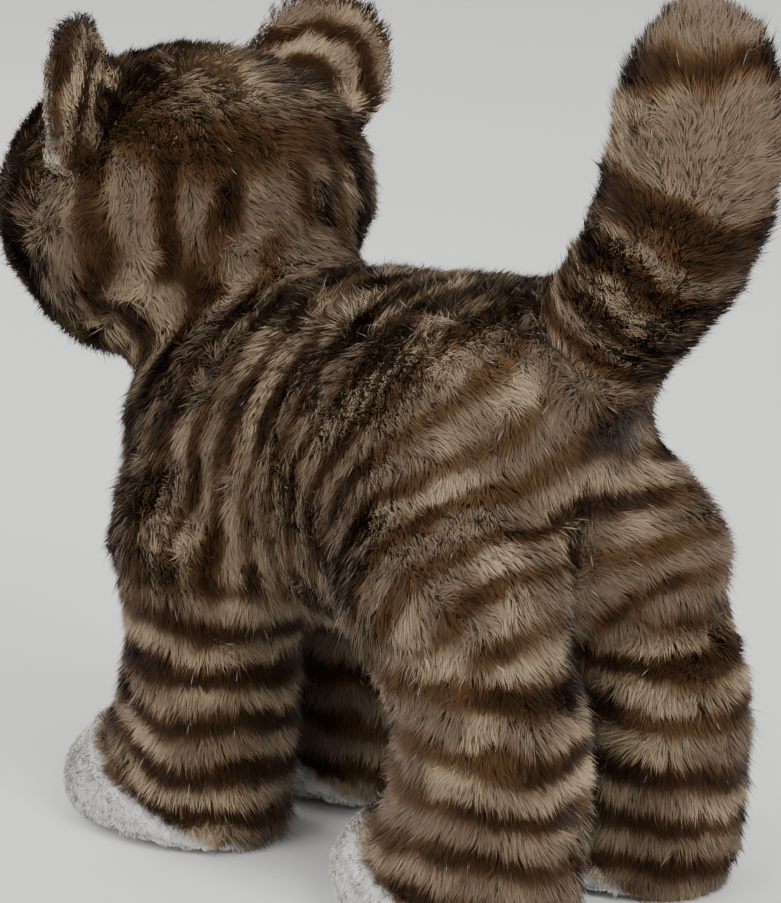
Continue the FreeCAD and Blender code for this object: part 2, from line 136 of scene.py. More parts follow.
def relaxed(corners, faces, rounds, share=0.5):
    """Each corner moves a share of the way to the mean of its neighbours, round after round."""
    edges = np.concatenate([faces[:, [0, 1]], faces[:, [1, 2]], faces[:, [2, 0]]])
    edges = np.concatenate([edges, edges[:, ::-1]])
    count = np.bincount(edges[:, 0], minlength=len(corners)).astype(float)[:, None]
    for _ in range(rounds):
        total = np.stack([np.bincount(edges[:, 0], corners[edges[:, 1], axis],
                                      minlength=len(corners)) for axis in range(3)], axis=1)
        corners = corners + share * (total / np.maximum(count, 1) - corners)
    return corners


def puffed(corners, faces, hold, cap):
    """The cloth after a simulated filling.  Pressure pushes it out, held points stay, and a
    point that moved by m ends at m times the smaller of 1 and cap / |m|."""
    obj = mesh_from("puff", corners, faces)
    group = obj.vertex_groups.new(name="hold")
    group.add(np.flatnonzero(hold > 0.85).tolist(), 1.0, "REPLACE")
    cloth = obj.modifiers.new("cloth", "CLOTH")
    cloth.settings.quality = 4
    cloth.settings.mass = 0.15
    cloth.settings.tension_stiffness = 12
    cloth.settings.compression_stiffness = 12
    cloth.settings.bending_stiffness = 1.5
    cloth.settings.use_pressure = True
    cloth.settings.uniform_pressure_force = PRESSURE
    cloth.settings.vertex_group_mass = "hold"
    cloth.settings.effector_weights.gravity = 0
    cloth.collision_settings.use_collision = False
    scene = bpy.context.scene
    for step in range(1, PUFF_STEPS + 1):
        scene.frame_set(step)
    grid = bpy.context.evaluated_depsgraph_get()
    mesh = bpy.data.meshes.new_from_object(obj.evaluated_get(grid))
    filled, _, _ = arrays_of(mesh)
    bpy.data.objects.remove(obj)
    scene.frame_set(1)
    move = filled - corners
    far = np.linalg.norm(move, axis=1, keepdims=True)
    return corners + move * np.minimum(1.0, cap / np.maximum(far, 1e-9))


def noise(points, size, seed):
    """Smooth noise from 0 to 1: random numbers on a grid of the given spacing, eased between."""
    table = np.random.default_rng(seed).random((NOISE_CELLS,) * 3)
    at = points / size
    cell = np.floor(at).astype(int)
    ease = at - cell
    ease = ease * ease * (3 - 2 * ease)
    total = np.zeros(len(points))
    for corner in np.ndindex(2, 2, 2):
        share = np.prod(np.where(corner, ease, 1 - ease), axis=1)
        spot = (cell + corner) % NOISE_CELLS
        total += share * table[spot[:, 0], spot[:, 1], spot[:, 2]]
    return total


def along(points, origin, axis):
    """How far points lie along an axis from an origin."""
    return (points - origin) @ axis


def line_of(off):
    """A seam's profile: 1 where off is zero, falling as a bell over the seam's width."""
    return np.exp(-(off / SEAM_WIDTH) ** 2)


HARD = ("ear_", "eye", "nose", "mouth", "closing", "neck_seam")
SOFT = [name for name in frame["nodes"] if not name.startswith(HARD)]
corners, faces, normals = melted(*cad_arrays(SOFT), FIRST_VOXEL)
corners, faces, normals = melted(corners + CLOSE * normals, faces, FIRST_VOXEL)
corners = relaxed(corners - CLOSE * normals, faces, 3)
corners, faces, normals = melted(corners, faces, LAST_VOXEL)
corners = relaxed(corners, faces, 6)

# Seams lie at the inside of each leg, along both sides of the crown and down the middle of
# the back.  They hold the cloth in while it fills, and dent it.
face_near = np.exp(-((corners[:, 1] + 0.115) / 0.02) ** 2) * (corners[:, 2] > 0.115)
hold = np.where(corners[:, 2] < 0.004, 1.0, 0.0)
hold = np.maximum(hold, np.where(face_near > 0.35, 1.0, 0.0))
leg_seam = np.zeros(len(corners))
for x, y in LEGS.values():
    inside = x - math.copysign(0.002, x)
    off = np.abs(corners[:, 0] - inside)
    here = (np.abs(corners[:, 1] - y) < 0.045) & (corners[:, 2] < 0.075) & (off < 0.006)
    leg_seam = np.maximum(leg_seam, here * line_of(off))
leg_seam *= corners[:, 2] > 0.004
crown = np.abs(np.abs(corners[:, 0]) - 0.016)
on_head = along(corners, NECK, NECK_AXIS) > 0.006
crown_seam = line_of(crown) * on_head * (corners[:, 2] > 0.157)
back_seam = line_of(corners[:, 0]) * ~on_head * (corners[:, 2] > 0.07)
seam = np.clip(leg_seam + crown_seam + back_seam, 0, 1)
hold = np.maximum(hold, np.where(seam > 0.6, 1.0, 0.0))
corners = puffed(corners, faces, hold, PUFF_MOST)
corners = relaxed(corners, faces, 1)
corners, faces, normals = with_normals(corners, faces)
corners = corners - SEAM_DENT * seam[:, None] * normals

# The stripes of the plush are printed on its fibres: dark brown with warm brown edges on
# taupe, with pale tan between.  They circle the legs and the tail, slant down the flanks
# and run from the crown down the back of the head.


def linear(code):
    """A colour code as linear light."""
    value = np.array([int(code[i:i + 2], 16) for i in (0, 2, 4)]) / 255
    return np.where(value <= 0.04045, value / 12.92, ((value + 0.055) / 1.055) ** 2.4)


TAUPE = linear("7d6a57")
TAN = linear("b29d80")
DARK = linear("34210f")
BROWN = linear("5d4229")
WHITE = linear("edece6")
CREAM = linear("d6c8b4")
HEAD = np.array([0.0, -0.0730, 0.1601])
MUZZLE = np.array([0.0, -0.1080, 0.1481])
TAIL = np.array([0.0, 0.0700, 0.1380])
TAIL_AXIS = np.array([0.0, 0.7071, 0.7071])
BODY_STRIPES = 0.0150
LEG_STRIPES = 0.0132
HEAD_STRIPES = 23.7
TAIL_LENGTH = 0.115
TAIL_PATH = TAIL_LENGTH * np.array([
    (0.0, 0.0), (0.08, 0.08), (0.18, 0.185), (0.262, 0.315), (0.307, 0.46), (0.318, 0.58),
    (0.314, 0.675), (0.308, 0.735), (0.304, 0.79)])
TAIL_RINGS = ((0.014, 0.0024), (0.0255, 0.0026), (0.037, 0.003), (0.0525, 0.0058),
              (0.0830, 0.0038))
CAP_EDGE = 0.003
CAP_SLOPE = math.tan(math.radians(27))
CAP_FRONT = -0.0199
CAP_HIND = 0.0750
MUZZLE_WHITE = np.array([0.0260, 0.0215, 0.0195])


def ease(low, high, value):
    """0 below low, 1 above high, smooth between."""
    share = np.clip((value - low) / (high - low), 0, 1)
    return share * share * (3 - 2 * share)


def tail_run(points):
    """Metres along the tail from its root: the length of path before the nearest leg of the
    tail's middle line, and the share of that leg."""
    start = TAIL_PATH[:-1]
    way = TAIL_PATH[1:] - start
    long = np.linalg.norm(way, axis=1)
    before = np.concatenate([[0], np.cumsum(long)[:-1]])
    flat = points[:, 1:] - TAIL[1:]
    share = np.clip(((flat[:, None] - start) * way).sum(2) / long ** 2, 0, 1)
    off = np.linalg.norm(flat[:, None] - start - share[..., None] * way, axis=2)
    pick = off.argmin(axis=1)
    rows = np.arange(len(points))
    return before[pick] + share[rows, pick] * long[pick]


def stripe(phase, width, wobble):
    """How dark a stripe is: 1 in the middle of each whole phase, 0 between."""
    near = 0.5 + 0.5 * np.cos(2 * math.pi * phase)
    return ease(1 - width - 0.46, 1 - width + 0.42, near + 0.50 * (wobble - 0.5))


def tabby(points):
    """Dark share of the print: stripes at whole steps of y on the body, of z on the legs, of
    the angle round the head and of the run along the tail, each with noise."""
    x, y, z = points.T
    wave = noise(points, 0.026, 1) - 0.5
    small = noise(points, 0.011, 3) - 0.5
    fine = noise(points, 0.006, 2)
    faded = 0.45 + 0.55 * ease(0.30, 0.58, noise(points, 0.017, 4))
    slant = ease(-0.045, 0.06, y)
    body = (y - slant * (z - 0.15) + 0.018 * wave + 0.005 * small
            + 0.03 * (1 - slant) * np.abs(x)) / BODY_STRIPES
    dark = stripe(body, 0.42, fine) * faded
    middle = np.where(y < 0.01, -0.035, 0.055)
    leg = (z + 0.12 * (y - middle) + 0.008 * wave + 0.005 * small) / LEG_STRIPES
    dark_leg = stripe(leg, 0.44, fine) * (0.25 + 0.75 * faded)
    dark = dark + (dark_leg - dark) * ease(0.082, 0.062, z)
    angle = np.degrees(np.arctan2(x, y - HEAD[1]))
    head = (angle + 16 * wave + 6 * small - 1.0) / HEAD_STRIPES
    dark_head = stripe(head, 0.36, fine) * (0.6 + 0.4 * faded)
    rise = along(points, HEAD, np.array([0, 0.42, 0.907]))
    band = ease(0.008, 0.000, np.abs(rise - 0.028 - 0.008 * wave))
    dark_head = np.maximum(dark_head * ease(0.036, 0.026, rise), 0.8 * band * faded)
    dark *= 1 - 0.6 * ease(-0.045, -0.062, y) * ease(0.030, 0.018, np.abs(x))
    top = ease(0.002, 0.014, along(points, NECK, NECK_AXIS)) * (y < 0.0)
    dark = dark + (dark_head - dark) * top
    ring = np.zeros(len(points))
    run = tail_run(points) + 0.010 * wave + 0.003 * small
    for centre, half in TAIL_RINGS:
        ring = np.maximum(ring, ease(half + 0.0034, half - 0.0030,
                                     np.abs(run - centre) + 0.004 * (fine - 0.5)))
    on_tail = ease(-0.002, 0.010, along(points, TAIL, TAIL_AXIS)) * (y > 0.03)
    return dark + (0.9 * ring - dark) * on_tail


def tabby_colour(points, dark):
    """The printed colour: taupe and tan by slow noise, brown at a stripe's edge, dark inside."""
    patch = ease(0.40, 0.85, noise(points, 0.012, 5))[:, None]
    light = TAUPE + (TAN - TAUPE) * patch
    warm = ease(0.02, 0.55, dark)[:, None]
    deep = ease(0.45, 1.00, dark)[:, None]
    colour = light + (BROWN - light) * warm
    return colour + (DARK - colour) * deep


def white_share(points):
    """1 on the white toe caps, soles, muzzle and chin, 0 on the tabby plush."""
    x, y, z = points.T
    edge = CAP_EDGE + CAP_SLOPE * (np.where(y < 0.010, CAP_FRONT, CAP_HIND) - y)
    wave = 0.0016 * (noise(points, 0.006, 7) - 0.5)
    toes = ease(0.0010, -0.0010, z - edge + wave) * (z < 0.05)
    off = (points - MUZZLE) / MUZZLE_WHITE
    snout = ease(1.10, 0.96, np.linalg.norm(off, axis=1)) * (y < -0.096)
    return np.maximum(toes, snout)


# The hide is cut at the seams where the toy bends.  Each zone is a thin shell of backing
# cloth.  A zone lists its first body, its second body, and how far along the neck or the tail
# the bend starts and ends; a zone with only a first body rides it, and the others stay put.

LEG_TOP = 0.0575
BACKING_THICK = 0.0012
ZONES = {
    "torso": ("torso", None, 0, 0), "neck_low": ("torso", "neck", -0.012, 0.006),
    "neck_high": ("neck", "head", 0.006, 0.018), "head": ("head", None, 0, 0),
    "tail_low": ("torso", "tail_root", -0.004, 0.007),
    "tail_mid": ("tail_root", "tail", 0.007, 0.019), "tail": ("tail", None, 0, 0),
}
for word in LEGS:
    ZONES["leg_" + word] = ("torso", "leg_" + word, 0, 0)
ZONE_NAMES = list(ZONES)


def zone_of(points):
    """Which zone of the hide points lie in, by the planes between the zones."""
    zone = np.zeros(len(points), int)
    up = along(points, NECK, NECK_AXIS)
    front = points[:, 1] < 0.0
    for name in ("neck_low", "neck_high"):
        zone[front & (up > ZONES[name][2])] = ZONE_NAMES.index(name)
    zone[front & (up > ZONES["neck_high"][3])] = ZONE_NAMES.index("head")
    back = along(points, TAIL, TAIL_AXIS)
    rear = points[:, 1] > 0.03
    for name in ("tail_low", "tail_mid"):
        zone[rear & (back > ZONES[name][2])] = ZONE_NAMES.index(name)
    zone[rear & (back > ZONES["tail_mid"][3])] = ZONE_NAMES.index("tail")
    for word, (x, y) in LEGS.items():
        here = (points[:, 0] * x > 0) & ((points[:, 1] - 0.01) * (y - 0.01) > 0)
        zone[here & (points[:, 2] < LEG_TOP)] = ZONE_NAMES.index("leg_" + word)
    return zone


def attach(piece, zone):
    """Rides a finished piece on its zone's first body when the zone has no second body, and
    otherwise leaves it fixed where it is.
    """
    first, second, low, high = ZONES[zone]
    if second is None:
        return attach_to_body(piece, first)
    if zone.startswith("leg_"):
        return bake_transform(piece)
    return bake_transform(piece)


def plush_material(name, sheen, rough):
    """Plush fibre: its colour is on its points, with a soft sheen."""
    material = bpy.data.materials.new(name)
    material.use_nodes = True
    nodes, links = material.node_tree.nodes, material.node_tree.links
    shader = nodes["Principled BSDF"]
    shader.inputs["Roughness"].default_value = rough
    shader.inputs["Specular IOR Level"].default_value = 0.15
    shader.inputs["Sheen Weight"].default_value = sheen
    shader.inputs["Sheen Roughness"].default_value = 0.4
    colour = nodes.new("ShaderNodeVertexColor")
    colour.layer_name = "print"
    links.new(colour.outputs["Color"], shader.inputs["Base Color"])
    return material


FUR = plush_material("plush_pile", 0.12, 0.85)
BACKING = plush_material("plush_backing", 0.1, 0.95)


def paint(obj, colours):
    """Puts a colour on each point of a mesh."""
    layer = obj.data.color_attributes.new("print", "FLOAT_COLOR", "POINT")
    rgba = np.ones((len(colours), 4), np.float32)
    rgba[:, :3] = colours
    layer.data.foreach_set("color", rgba.ravel())


def hide_colour(points):
    """The tabby print, and plain white on the toe caps, soles, muzzle and chin."""
    colour = tabby_colour(points, tabby(points))
    white = white_share(points)[:, None]
    return colour + (WHITE - colour) * white


def part_of(corners, faces, normals, chosen):
    """Some faces of a mesh with only the corners that they use."""
    keep = faces[chosen]
    used, index = np.unique(keep, return_inverse=True)
    return corners[used], index.reshape(keep.shape), normals[used]


def hide_piece(name, corners, faces, colours, zone):
    """A zone of the hide as a shell of backing cloth, laid inwards from its face."""
    obj = mesh_from(name, corners, faces)
    paint(obj, colours)
    obj.data.materials.append(BACKING)
    wall = obj.modifiers.new("cloth", "SOLIDIFY")
    wall.thickness = BACKING_THICK
    wall.offset = -1
    attach(obj, zone)
    return obj


# The pile: fibres knitted into the backing, combed back and down.  Each is a blade that
# leaves the skin, leans with the comb and bends over to a fine tip.

FIBRES_PER_M2 = 7.2e6
MOST = 98000
BLADE_WIDE = 0.00025
TUFT = 0.0038
PILE_BODY = 0.0068
PILE_FACE = 0.0040
PILE_WHITE = 0.0017
PILE_LEAST = 0.0008
EYE_AT = np.array([0.021, -0.1105, 0.1661])
EYE_RADIUS = 0.0065
NOSE_AT = np.array([0, -0.123, 0.1562])
BODY_LIFT = 0.78
EAR_LIFT = 0.6
# Where each of a blade's six triangle corners lies in its cell of the layout.
BLADE_CELL = np.array([[0.5, 0.15], [0.8, 0.5], [0.2, 0.5], [0.2, 0.5], [0.8, 0.5],
                       [0.5, 0.85]])


def fibres(name, skin, count, seed, comb, colour_of, length_of, lift):
    """Blades on a surface.  Root r is spread evenly by area.  The middle is
    r + L (0.46 n + 0.24 t) and the tip r + L (lift n + 0.66 t), where n is the normal and
    t the comb direction with noise.  Tips in one tuft lean towards the tuft's middle."""
    corners, faces, normals = skin
    rng = np.random.default_rng(seed)
    a, b, c = (corners[faces[:, i]] for i in range(3))
    area = np.linalg.norm(np.cross(b - a, c - a), axis=1)
    pick = rng.choice(len(faces), count, p=area / area.sum())
    u, v = rng.random(count), rng.random(count)
    flip = u + v > 1
    u[flip], v[flip] = 1 - u[flip], 1 - v[flip]
    mix = np.stack([1 - u - v, u, v], axis=1)[..., None]
    root = (corners[faces[pick]] * mix).sum(1)
    normal = (normals[faces[pick]] * mix).sum(1)
    normal /= np.linalg.norm(normal, axis=1, keepdims=True)
    flow = comb(root)
    sway = np.stack([noise(root, 0.011, seed + 11 + axis) - 0.5 for axis in range(3)], axis=1)
    fray = np.stack([noise(root, 0.0040, seed + 21 + axis) - 0.5 for axis in range(3)], axis=1)
    flow = flow + 1.6 * sway + 1.3 * fray + 0.28 * rng.normal(size=(count, 3))
    flow -= (flow * normal).sum(1, keepdims=True) * normal
    flow /= np.maximum(np.linalg.norm(flow, axis=1, keepdims=True), 1e-6)
    long = (length_of(root) * (0.70 + 0.45 * rng.random(count))
            * (0.80 + 0.4 * noise(root, 0.0045, seed + 31)))[:, None]
    long *= np.where(rng.random(count) < 0.07, 1.35, 1.0)[:, None]
    middle = root + long * (0.46 * normal + 0.24 * flow)
    tip = root + long * (lift * normal + 0.66 * flow)
    tuft = np.floor((root + 0.0025 * fray) / TUFT).astype(np.int64)
    key = (tuft[:, 0] * 73856093) ^ (tuft[:, 1] * 19349663) ^ (tuft[:, 2] * 83492791)
    _, group = np.unique(key, return_inverse=True)
    size = np.bincount(group).astype(float)
    centre = np.stack([np.bincount(group, tip[:, i]) for i in range(3)], axis=1) / size[:, None]
    tip += 0.30 * (centre[group] - tip)
    across = np.cross(flow, normal) + 0.5 * rng.normal(size=(count, 3))
    across /= np.linalg.norm(across, axis=1, keepdims=True)
    across *= BLADE_WIDE * (0.7 + 0.6 * rng.random(count))[:, None]
    points = np.stack([root - 0.0006 * normal, middle + 0.5 * across, middle - 0.5 * across,
                       tip], axis=1)
    points[..., 2] = np.maximum(points[..., 2], 0.0003)
    first = (np.arange(count) * 4)[:, None]
    blades = (first[:, None] + np.array([[0, 1, 2], [2, 1, 3]])).reshape(-1, 3)
    obj = mesh_from(name, points.reshape(-1, 3), blades)
    side = int(math.ceil(math.sqrt(count)))
    cell = np.stack([np.arange(count) % side, np.arange(count) // side], axis=1)
    spots = (cell[:, None] + BLADE_CELL) / side
    layout = obj.data.uv_layers.new(name="OFBake")
    layout.uv.foreach_set("vector", spots.astype(np.float32).ravel())
    shade = normal + 0.25 * flow + 0.10 * rng.normal(size=(count, 3))
    shade /= np.linalg.norm(shade, axis=1, keepdims=True)
    obj.data.normals_split_custom_set_from_vertices(np.repeat(shade, 4, axis=0).tolist())
    base = colour_of(root, tip)
    tone = (0.88 + 0.24 * rng.random(count))[:, None]
    white = white_share(root)[:, None]
    tone += (1 - tone) * white
    # Painted shade: each blade's root corner is darkened to 78% of its colour (98% on the white
    # pile) as shade among the crowded fibres; the two middle corners are at 96% and the tip is
    # 14% paler.
    low = 0.78 + 0.20 * white
    # Painted glints: three blades in a thousand get a pale tip of 0.75 in every channel in place
    # of their colour, as painted highlights.
    painted_glint = (rng.random(count) < 0.003)[:, None]
    light = 1.14 * base * tone
    shades = np.stack([low * base * tone, 0.96 * base * tone, 0.96 * base * tone,
                       np.where(painted_glint, 0.75, light)], axis=1)
    paint(obj, shades.reshape(-1, 3))
    obj.data.materials.append(FUR)
    return obj


def comb_all(points):
    """Which way the pile lies: back and down the body, down the legs, along the tail
    to its tip, and from the nose back over the head and down the nape."""
    x, y, z = points.T
    flow = np.stack([0.15 * np.sign(x), np.full_like(x, 0.65), np.full_like(x, -0.75)], axis=1)
    legs = ease(0.080, 0.060, z)[:, None]
    flow += (np.array([0, 0.12, -1.0]) - flow) * legs
    head = (ease(0.0, 0.016, along(points, NECK, NECK_AXIS)) * (y < 0))[:, None]
    away = points - np.array([0, -0.125, 0.152])
    away /= np.linalg.norm(away, axis=1, keepdims=True)
    away[:, 2] -= 0.9 * ease(-0.085, -0.05, y)
    flow += (away - flow) * head
    tail = (ease(0.0, 0.012, along(points, TAIL, TAIL_AXIS)) * (y > 0.03))[:, None]
    run = ease(0.02, 0.06, z - TAIL[2])[:, None]
    up = np.array([0, 0.7, 0.7]) + (np.array([0, 0, 1.0]) - np.array([0, 0.7, 0.7])) * run
    flow += (up - flow) * tail
    return flow


def pile_length(points):
    """Long on the body, short on the face, shorter on the toes, soles and muzzle, and
    clipped close round the eyes and the nose."""
    x, y, z = points.T
    length = np.full(len(points), PILE_BODY)
    face = ease(-0.085, -0.105, y) * (z > 0.12)
    length += (PILE_FACE - length) * face
    length += (PILE_WHITE - length) * white_share(points)
    length *= 0.35 + 0.65 * ease(0.0, 0.004, z)
    for side in (-1, 1):
        eye = EYE_AT * (side, 1, 1)
        length *= ease(0.0060, 0.0110, np.linalg.norm(points - eye, axis=1))
    length *= ease(0.0050, 0.0090, np.linalg.norm(points - NOSE_AT, axis=1))
    return np.maximum(length, PILE_LEAST)


def pile_colour(root, tip):
    """The print is carried part of the way by the bent fibre."""
    return hide_colour(root + 0.25 * (tip - root))


def areas(corners, faces):
    """The area of each triangle: half the length of the cross product of two sides."""
    a, b, c = (corners[faces[:, i]] for i in range(3))
    return 0.5 * np.linalg.norm(np.cross(b - a, c - a), axis=1)


# The cloth lies inside the outline by about half the pile's height, further in on the rump,
# and less far on the toes, the cheeks and the head.
toes = white_share(corners) * (corners[:, 2] < 0.05)
depth = 0.52 * pile_length(corners) - 0.0040 * toes
depth -= 0.0010 * ease(0.0, 0.016, along(corners, NECK, NECK_AXIS)) * (corners[:, 1] < 0)
for side in (-1, 1):
    cheek = np.array([side * 0.030, -0.076, 0.124])
    depth -= 0.0045 * np.exp(-(np.linalg.norm(corners - cheek, axis=1) / 0.016) ** 2)
rump = np.exp(-((corners[:, 2] - 0.112) / 0.020) ** 2) * ease(0.045, 0.065, corners[:, 1])
depth += 0.0040 * rump * ease(0.010, 0.024, np.abs(corners[:, 0]))
sunk = depth[:, None] * normals
sunk[:, 2] *= corners[:, 2] > 0.004
corners = corners - sunk
corners[:, 2] = np.maximum(corners[:, 2], 0.0006)
corners, faces, normals = with_normals(corners, faces)
skin_tree = BVHTree.FromPolygons(corners.tolist(), faces.tolist())
middles = corners[faces].mean(axis=1)
zones = zone_of(middles)
face_area = areas(corners, faces)
for index, zone in enumerate(ZONE_NAMES):
    chosen = zones == index
    co, tri, _ = part_of(corners, faces, normals, chosen)
    hide_piece("hide_" + zone, co, tri, hide_colour(co), zone)
    patches = [chosen]
    if face_area[chosen].sum() * FIBRES_PER_M2 > MOST:
        patches = [chosen & (middles[:, 0] >= 0), chosen & (middles[:, 0] < 0)]
        if face_area[patches[0]].sum() * FIBRES_PER_M2 > MOST:
            cut = np.median(middles[chosen][:, 1])
            patches = [patch & (side * (middles[:, 1] - cut) >= 0)
                       for patch in patches for side in (1, -1)]
    for part, patch in enumerate(patches):
        count = min(int(face_area[patch].sum() * FIBRES_PER_M2), MOST)
        piece = fibres("pile_%s_%d" % (zone, part), part_of(corners, faces, normals, patch),
                       count, 100 + 10 * index + part, comb_all, pile_colour, pile_length,
                       BODY_LIFT)
        attach(piece, zone)

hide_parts("torso_stuffing", "side_panel_left", "side_panel_right",
            "belly_gusset")
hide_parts("neck_stuffing", "neck_seam")
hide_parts("head_stuffing", "crown_gusset", "head_side_left",
            "head_side_right", "muzzle")
for word in LEGS:
    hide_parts(word + "_stuffing", word + "_panel_outer",
                word + "_panel_inner", word + "_toe_cap", word + "_sole")
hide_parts("tail_root_stuffing")
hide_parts("tail_stuffing", "tail_panel_left", "tail_panel_right")

# ---------------------------------------------------------------- ears
# Two layers each: tabby plush behind, short pale plush in front, sewn round the rim,
# turned, and pinched into the head seam at the foot.

EAR_VOXEL = 0.0016
EAR_PILE_BACK = 0.0062
EAR_PILE_FRONT = 0.0032
EAR_STRIPES = 0.0092
EAR_DENSER = 1.1

for side, word in ((1, "left"), (-1, "right")):
    co, tri, nor = melted(*cad_arrays(["ear_back_" + word, "ear_lining_" + word]), EAR_VOXEL)
    co = relaxed(co, tri, 3)
    joint = [j for j in frame["joints"] if j["name"] == "ear_fold_" + word][0]
    foot = np.array(joint["pos_m"])
    wide = np.array(joint["axis"])
    rise = co.mean(axis=0) - foot
    rise -= (rise @ wide) * wide
    rise /= np.linalg.norm(rise)
    facing = np.cross(rise, wide)
    if facing[1] < 0:
        facing = -facing
    co, tri, nor = with_normals(co, tri)
    trees = [BVHTree.FromPolygons(a.tolist(), b.tolist()) for a, b in
             (cad_arrays(["ear_lining_" + word]), cad_arrays(["ear_back_" + word]))]

    def in_front(points, trees=trees):
        """1 where the lining of the ear is nearer than its back."""
        apart = np.array([[tree.find_nearest(point)[3] for tree in trees]
                          for point in points.tolist()])
        return ease(0.0, -0.0006, apart[:, 0] - apart[:, 1])

    def ear_colour(root, tip=None, foot=foot, facing=facing):
        """Arcs of dark brown round the rim behind, pale tan in front."""
        far = np.linalg.norm(root - foot - 0.010 * facing, axis=1)
        wave = noise(root, 0.012, 41) - 0.5
        dark = stripe((far + 0.004 * wave) / EAR_STRIPES + 0.15, 0.42, noise(root, 0.006, 42))
        colour = tabby_colour(root, dark)
        front = in_front(root)[:, None]
        return colour + (CREAM * 0.8 - colour) * front

    def ear_length(points):
        """Long pile behind, short pile in front."""
        return EAR_PILE_BACK + (EAR_PILE_FRONT - EAR_PILE_BACK) * in_front(points)

    def ear_comb(points, rise=rise):
        """The pile lies towards the tip of the ear."""
        return np.tile(rise, (len(points), 1))

    ear = mesh_from("hide_ear_" + word, co, tri)
    paint(ear, ear_colour(co))
    ear.data.materials.append(BACKING)
    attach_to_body(ear, "ear_" + word)
    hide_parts("ear_back_" + word, "ear_lining_" + word)
    high = (co[tri].mean(axis=1) - foot) @ rise > -0.003
    co, tri, nor = part_of(co, tri, nor, high)
    count = int(areas(co, tri).sum() * FIBRES_PER_M2 * EAR_DENSER)
    pile = fibres("pile_ear_" + word, (co, tri, nor), count, 300 + side, ear_comb, ear_colour,
                  ear_length, EAR_LIFT)
    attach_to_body(pile, "ear_" + word)

# ---------------------------------------------------------------- eyes, nose, mouth, stitches
# Moulded safety eyes with an amber ring round a black pupil, a satin-stitched nose, and
# thread lines for the mouth and for the closed belly opening.


def plain_material(name, colour, rough, coat=0.0):
    """One colour and roughness, with a clear coat where it is polished."""
    material = bpy.data.materials.new(name)
    material.use_nodes = True
    shader = material.node_tree.nodes["Principled BSDF"]
    shader.inputs["Base Color"].default_value = (*linear(colour), 1)
    shader.inputs["Roughness"].default_value = rough
    shader.inputs["Coat Weight"].default_value = coat
    return material


def bump(material, texture, strength, distance):
    """Adds height from a texture node's output to a material."""
    nodes, links = material.node_tree.nodes, material.node_tree.links
    node = nodes.new("ShaderNodeBump")
    node.inputs["Strength"].default_value = strength
    node.inputs["Distance"].default_value = distance
    links.new(texture, node.inputs["Height"])
    links.new(node.outputs["Normal"], nodes["Principled BSDF"].inputs["Normal"])


def object_coordinates(material):
    """The place on the piece, for a pattern that stays with it."""
    return material.node_tree.nodes.new("ShaderNodeTexCoord").outputs["Object"]


NOSE = plain_material("nose_thread", "b0716c", 0.45)
wave = NOSE.node_tree.nodes.new("ShaderNodeTexWave")
wave.bands_direction = "X"
wave.inputs["Scale"].default_value = 420
wave.inputs["Distortion"].default_value = 1.5
NOSE.node_tree.links.new(object_coordinates(NOSE), wave.inputs["Vector"])
bump(NOSE, wave.outputs["Color"], 0.6, 0.0003)
frame["nodes"]["nose"].data.materials.clear()
frame["nodes"]["nose"].data.materials.append(NOSE)

THREAD = plain_material("dark_thread", "2a211c", 0.7)
PALE = plain_material("seam_thread", "4d4038", 0.7)
NYLON = plain_material("washer_nylon", "d9d8d2", 0.4)
speckle = NYLON.node_tree.nodes.new("ShaderNodeTexNoise")
speckle.inputs["Scale"].default_value = 900
NYLON.node_tree.links.new(object_coordinates(NYLON), speckle.inputs["Vector"])
bump(NYLON, speckle.outputs["Fac"], 0.2, 0.0001)


def thread_tube(path, radius):
    """A thread: the circle p + r (cos a side + sin a up) at eight angles a, carried along the
    path's points p, with side and up square to the path, and flat ends."""
    way = np.gradient(path, axis=0)
    way /= np.linalg.norm(way, axis=1, keepdims=True)
    side = np.cross(way, np.array([0.31, 0.17, 0.93]))
    side /= np.linalg.norm(side, axis=1, keepdims=True)
    up = np.cross(way, side)
    turn = np.linspace(0, 2 * math.pi, 9)[:-1]
    ring = (path[:, None] + radius * (np.cos(turn)[:, None] * side[:, None]
                                      + np.sin(turn)[:, None] * up[:, None])).reshape(-1, 3)
    row = np.arange(len(path) - 1)[:, None] * 8
    step = np.arange(8)
    after = (step + 1) % 8
    quads = np.stack([row + step, row + after, row + 8 + after, row + 8 + step], axis=2)
    ends = np.array([[0, 7, 6, 5], [5, 4, 3, 0], [3, 2, 1, 0]])
    last = (len(path) - 1) * 8
    other = last + np.array([[0, 1, 2, 3], [3, 4, 5, 0], [5, 6, 7, 0]])
    return ring, np.concatenate([quads.reshape(-1, 4), ends, other])


def on_skin(points, toward, proud):
    """Points pushed onto the hide along a direction, and left proud of it."""
    out = []
    for point in points:
        start = Vector(point) - Vector(toward) * 0.06
        spot, normal, _, _ = skin_tree.ray_cast(start, Vector(toward))
        out.append(tuple(spot + normal * proud) if spot else tuple(point))
    return np.array(out)


def thread_piece(name, paths, radius, material, body, node):
    """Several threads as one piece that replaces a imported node."""
    rings, quads, count = [], [], 0
    for path in paths:
        ring, quad = thread_tube(path, radius)
        rings.append(ring)
        quads.append(quad + count)
        count += len(ring)
    obj = mesh_from(name, np.concatenate(rings), np.concatenate(quads))
    obj.data.materials.append(material)
    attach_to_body(obj, body)
    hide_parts(node)


# The mouth is two curls that meet under the nose, and a short line up to it.
CURL = 0.008
MOUTH_LINE = MUZZLE[2] - 0.2 * 0.034
NOSE_FOOT = 0.1535
BEFORE_FACE = -0.13
turn = np.linspace(0.15, math.pi - 0.10, 15)
lips = []
for side in (-1, 1):
    arc = np.stack([side * (CURL + CURL * np.cos(turn)), np.full(15, BEFORE_FACE),
                    MOUTH_LINE - CURL * 0.8 * np.sin(turn)], axis=1)
    lips.append(on_skin(arc, (0, 1, 0), 0.0007))
drop = np.stack([np.zeros(8), np.full(8, BEFORE_FACE),
                 np.linspace(MOUTH_LINE, NOSE_FOOT, 8)], axis=1)
lips.append(on_skin(drop, (0, 1, 0), 0.0007))
thread_piece("mouth_line", lips, 0.0006, THREAD, "head", "mouth_stitch")

